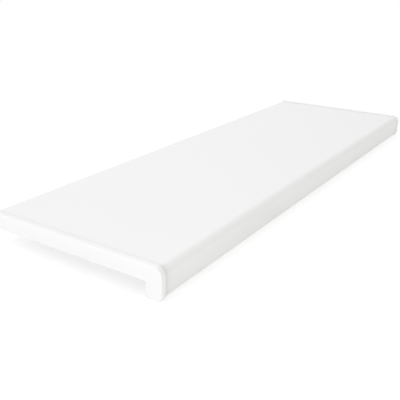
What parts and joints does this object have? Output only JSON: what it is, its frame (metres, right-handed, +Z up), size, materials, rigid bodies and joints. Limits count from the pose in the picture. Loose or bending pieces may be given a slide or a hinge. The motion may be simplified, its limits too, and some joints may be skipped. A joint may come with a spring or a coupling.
{
  "type": "window sill board",
  "caption": "Hollow white window sill board with a rounded, down-turned nose and a push-on cap over each cut end.",
  "frame": {"origin": "under the middle of the board, level with the feet of the end caps", "axes": "+X along the board, -Y towards the nose, +Y towards the window, +Z up"},
  "size_m": [0.93, 0.304, 0.0455],
  "materials": {
    "board_plastic": "satin white, faintly grained",
    "cap_plastic": "satin white, moulded"
  },
  "bodies": {
    "root": {"sill_board": "board_plastic", "end_cap_left": "cap_plastic", "end_cap_right": "cap_plastic"}
  },
  "joints": []
}
